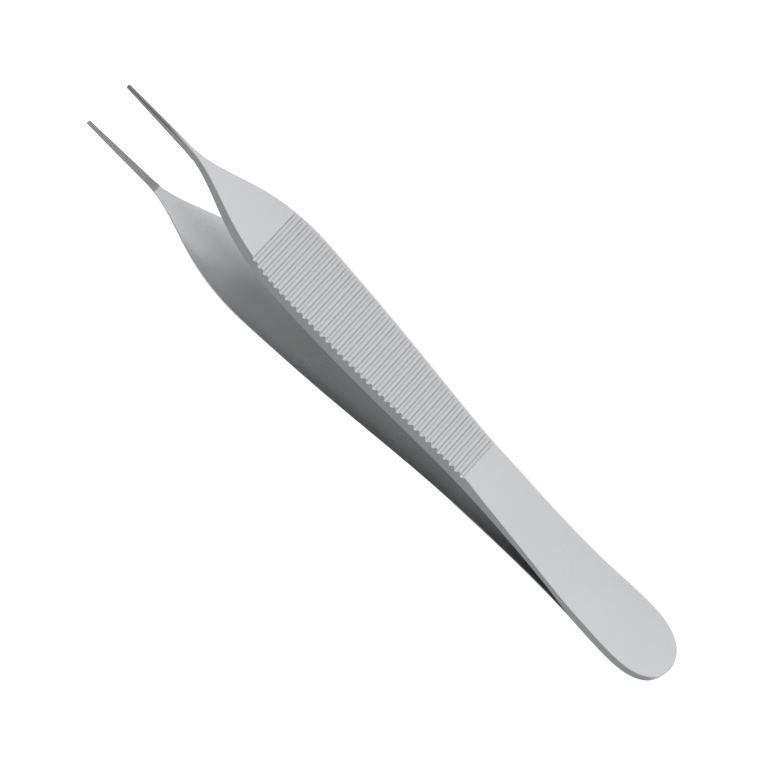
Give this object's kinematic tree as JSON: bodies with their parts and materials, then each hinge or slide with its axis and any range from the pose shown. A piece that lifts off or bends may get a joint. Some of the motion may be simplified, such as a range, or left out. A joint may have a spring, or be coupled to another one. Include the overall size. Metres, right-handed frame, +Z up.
{
  "type": "thumb forceps",
  "caption": "Fine-tipped stainless steel thumb forceps: two sprung arms joined at a flat rounded butt, with a cross-ridged grip and slender serrated jaws.",
  "frame": {"origin": "middle of the forceps' bounding box, on the surface they lie on", "axes": "+X from the joined butt to the open tips, Y is the way the arms spring apart, +Z up, across the width of the arms: the forceps lie on their side edges"},
  "size_m": [0.12, 0.0168, 0.0128],
  "materials": {
    "satin_steel": "fine satin, passivated stainless steel"
  },
  "bodies": {
    "root": {"front_arm": "satin_steel", "rear_arm": "satin_steel"}
  },
  "joints": []
}
